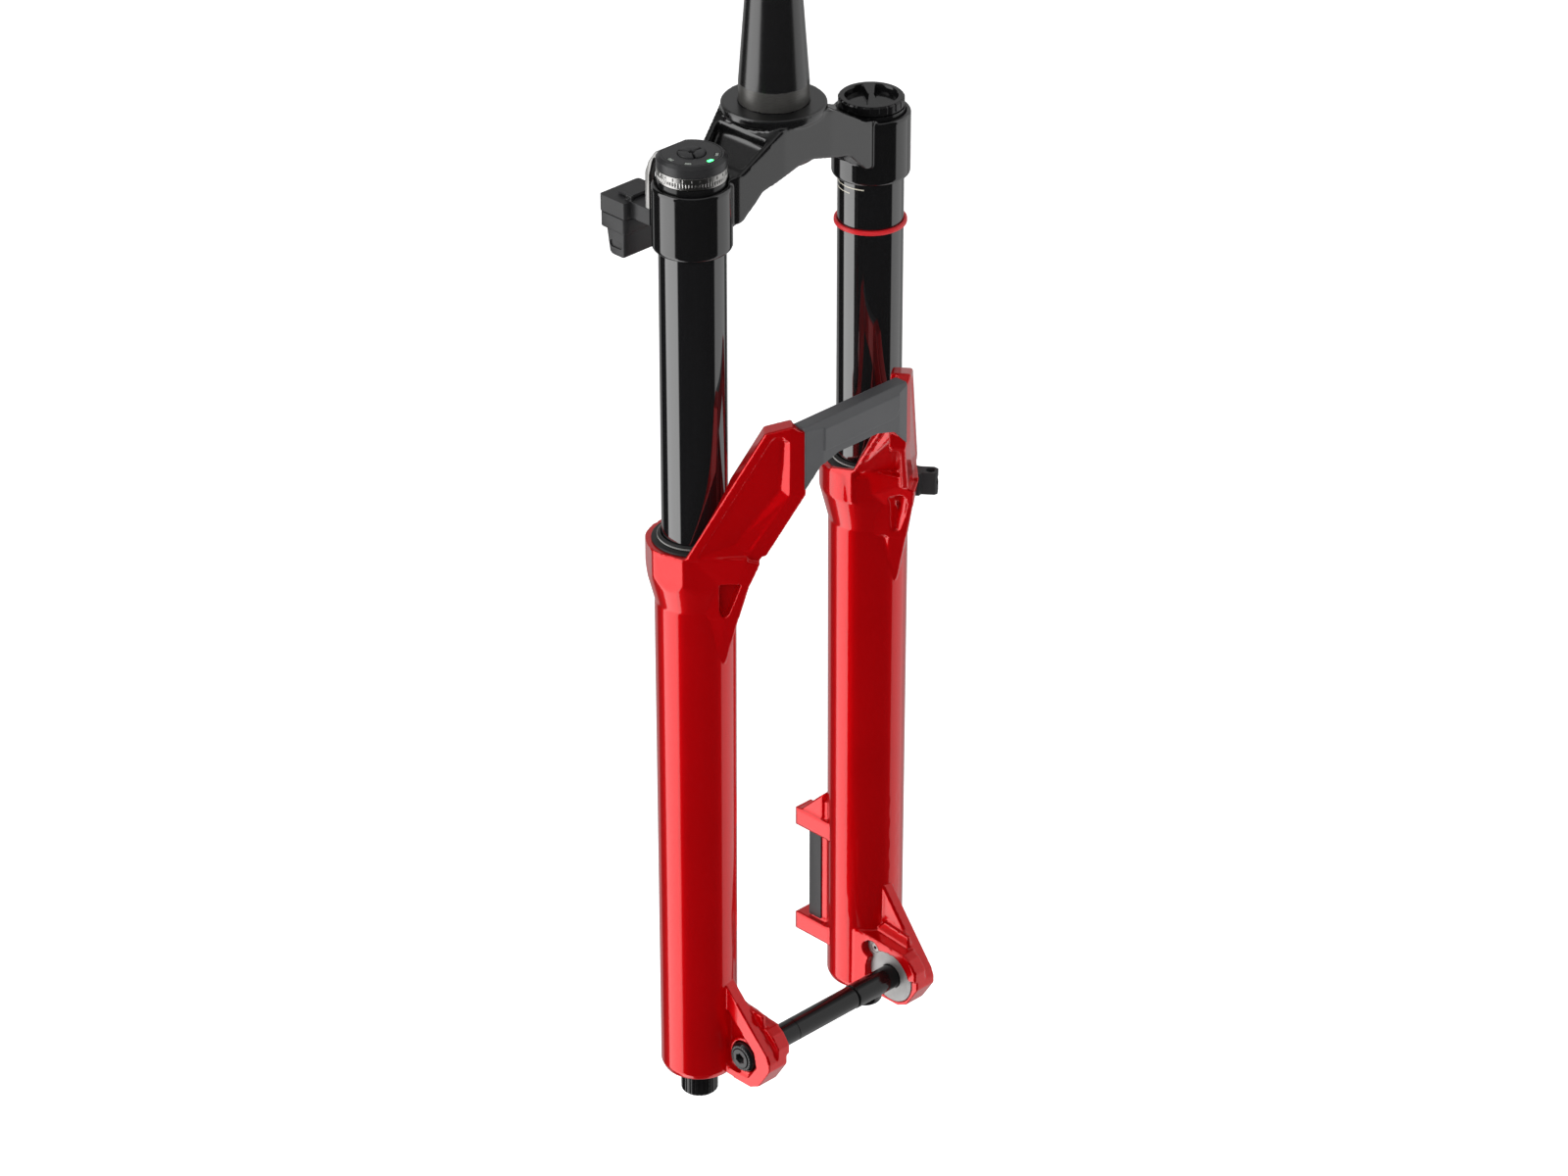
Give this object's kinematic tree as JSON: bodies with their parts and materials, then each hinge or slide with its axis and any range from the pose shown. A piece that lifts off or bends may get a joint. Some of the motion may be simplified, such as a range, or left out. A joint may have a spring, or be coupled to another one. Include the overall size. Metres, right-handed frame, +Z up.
{
  "type": "suspension fork",
  "caption": "Single-crown air-sprung bicycle suspension fork with tapered steerer, electronic damper module, battery, arch, through axle and disc-brake posts.",
  "frame": {"origin": "centre of the crown race seat, on the steering axis", "axes": "+Z up along the steerer, +X forward, +Y towards the rider's left"},
  "size_m": [0.1211, 0.1974, 0.8405],
  "materials": {
    "forged_black": "satin black anodised forging",
    "tube_black": "gloss black hard anodised",
    "steerer_black": "satin black anodised",
    "red_paint": "gloss metallic red paint over a light-alloy casting",
    "arch_grey": "satin dark grey",
    "machined_silver": "turned and clear anodised",
    "black_plastic": "fine-textured black",
    "battery_plastic": "dark grey moulded",
    "indicator": "translucent window",
    "seal_rubber": "black nitrile",
    "red_rubber": "red band",
    "spring_steel": "bright",
    "insert_steel": "blasted",
    "inner_alloy": "machined",
    "bushing": "low-friction bushing",
    "foam": "oiled foam",
    "shaft_black": "hard anodised",
    "axle_black": "black anodised",
    "token_red": "moulded",
    "copper": "annealed washer"
  },
  "bodies": {
    "uppers": {"crown": "forged_black", "steerer_tube": "steerer_black", "right_stanchion": "tube_black", "left_stanchion": "tube_black", "damper_top_cap": "axle_black", "compression_motor": "inner_alloy", "damper_tube": "inner_alloy", "damper_seal_head": "inner_alloy", "compression_stem": "inner_alloy", "base_valve": "inner_alloy", "air_top_cap": "axle_black", "air_valve": "copper", "volume_tokens": "token_red", "air_seal_head": "inner_alloy", "retaining_rings": "spring_steel", "module_housing": "black_plastic", "module_lights": "indicator", "module_bracket": "machined_silver", "battery_cradle": "black_plastic"},
    "lowers": {"lowers_casting": "red_paint", "arch_cover": "arch_grey", "wiper_seals": "seal_rubber", "seal_springs": "spring_steel", "foam_rings": "foam", "upper_bushings": "bushing", "lower_bushings": "bushing", "post_strip": "black_plastic", "dropout_insert": "insert_steel", "insert_screw": "spring_steel", "hose_guide": "black_plastic", "hose_guide_bolt": "spring_steel", "air_shaft": "shaft_black", "air_piston": "inner_alloy", "air_piston_seal": "seal_rubber", "damper_shaft": "shaft_black", "rebound_piston": "inner_alloy", "piston_band": "black_plastic", "topout_bumpers": "seal_rubber", "bottomout_bumpers": "seal_rubber", "foot_bolts": "axle_black", "crush_washers": "copper", "left_foot_cap": "axle_black"},
    "sag_ring": {"sag_ring": "red_rubber"},
    "floating_piston": {"floating_piston": "inner_alloy"},
    "valve_spool": {"valve_spool": "inner_alloy"},
    "compression_dial": {"compression_dial": "machined_silver"},
    "menu_button": {"menu_button": "black_plastic"},
    "plus_button": {"plus_button": "black_plastic"},
    "minus_button": {"minus_button": "black_plastic"},
    "battery": {"battery": "battery_plastic"},
    "battery_latch": {"battery_latch": "black_plastic"},
    "air_cap": {"air_cap": "axle_black"},
    "rebound_adjuster": {"rebound_knob": "axle_black", "rebound_rod": "inner_alloy"},
    "axle_washer": {"axle_washer": "axle_black"},
    "axle": {"axle": "axle_black"},
    "right_relief_button": {"right_relief_button": "axle_black"},
    "left_relief_button": {"left_relief_button": "axle_black"}
  },
  "joints": [
    {"name": "fork_travel", "type": "slide", "parent": "uppers", "child": "lowers", "axis": [0, 0, 1], "range_m": [0, 0.17], "stiffness_N_per_m": 4000, "springref_m": -0.05},
    {"name": "sag_ring_slide", "type": "slide", "parent": "uppers", "child": "sag_ring", "axis": [0, 0, 1], "range_m": [0, 0.025]},
    {"name": "floating_piston_slide", "type": "slide", "parent": "uppers", "child": "floating_piston", "axis": [0, 0, 1], "range_m": [0, 0.024]},
    {"name": "valve_spool_turn", "type": "hinge", "parent": "uppers", "child": "valve_spool", "pos_m": [0.007, -0.07, -0.12], "axis": [0, 0, 1], "range_deg": [0, 90]},
    {"name": "compression_dial_turn", "type": "hinge", "parent": "uppers", "child": "compression_dial", "pos_m": [0.007, -0.07, -0.018], "axis": [0, 0, 1], "range_deg": [0, 270]},
    {"name": "menu_button_press", "type": "slide", "parent": "uppers", "child": "menu_button", "axis": [0, 0, -1], "range_m": [0, 0.0005], "stiffness_N_per_m": 1500, "springref_m": -0.0004},
    {"name": "plus_button_press", "type": "slide", "parent": "uppers", "child": "plus_button", "axis": [0, 0, -1], "range_m": [0, 0.0005], "stiffness_N_per_m": 1500, "springref_m": -0.0004},
    {"name": "minus_button_press", "type": "slide", "parent": "uppers", "child": "minus_button", "axis": [0, 0, -1], "range_m": [0, 0.0005], "stiffness_N_per_m": 1500, "springref_m": -0.0004},
    {"name": "battery_release", "type": "slide", "parent": "uppers", "child": "battery", "axis": [0, 0, -1], "range_m": [0, 0.03]},
    {"name": "battery_latch_lift", "type": "hinge", "parent": "uppers", "child": "battery_latch", "pos_m": [-0.0345, -0.07, -0.0458], "axis": [0, 1, 0], "range_deg": [0, 100]},
    {"name": "air_cap_turn", "type": "hinge", "parent": "uppers", "child": "air_cap", "pos_m": [0.007, 0.07, -0.02], "axis": [0, 0, 1], "range_deg": [0, 720]},
    {"name": "rebound_turn", "type": "hinge", "parent": "lowers", "child": "rebound_adjuster", "pos_m": [0.007, -0.07, -0.61], "axis": [0, 0, 1], "range_deg": [0, 330]},
    {"name": "axle_withdraw", "type": "slide", "parent": "lowers", "child": "axle_washer", "axis": [0, -1, 0], "range_m": [0, 0.15]},
    {"name": "axle_turn", "type": "hinge", "parent": "axle_washer", "child": "axle", "pos_m": [0.044, 0, -0.581], "axis": [0, 1, 0], "continuous": true},
    {"name": "right_relief_press", "type": "slide", "parent": "lowers", "child": "right_relief_button", "axis": [1, 0, 0], "range_m": [0, 0.0008], "stiffness_N_per_m": 1200, "springref_m": -0.0005},
    {"name": "left_relief_press", "type": "slide", "parent": "lowers", "child": "left_relief_button", "axis": [1, 0, 0], "range_m": [0, 0.0008], "stiffness_N_per_m": 1200, "springref_m": -0.0005}
  ],
  "couplings": [
    {"joint": "sag_ring_slide", "follows": "fork_travel", "ratio": 0.145},
    {"joint": "floating_piston_slide", "follows": "fork_travel", "ratio": 0.139}
  ]
}
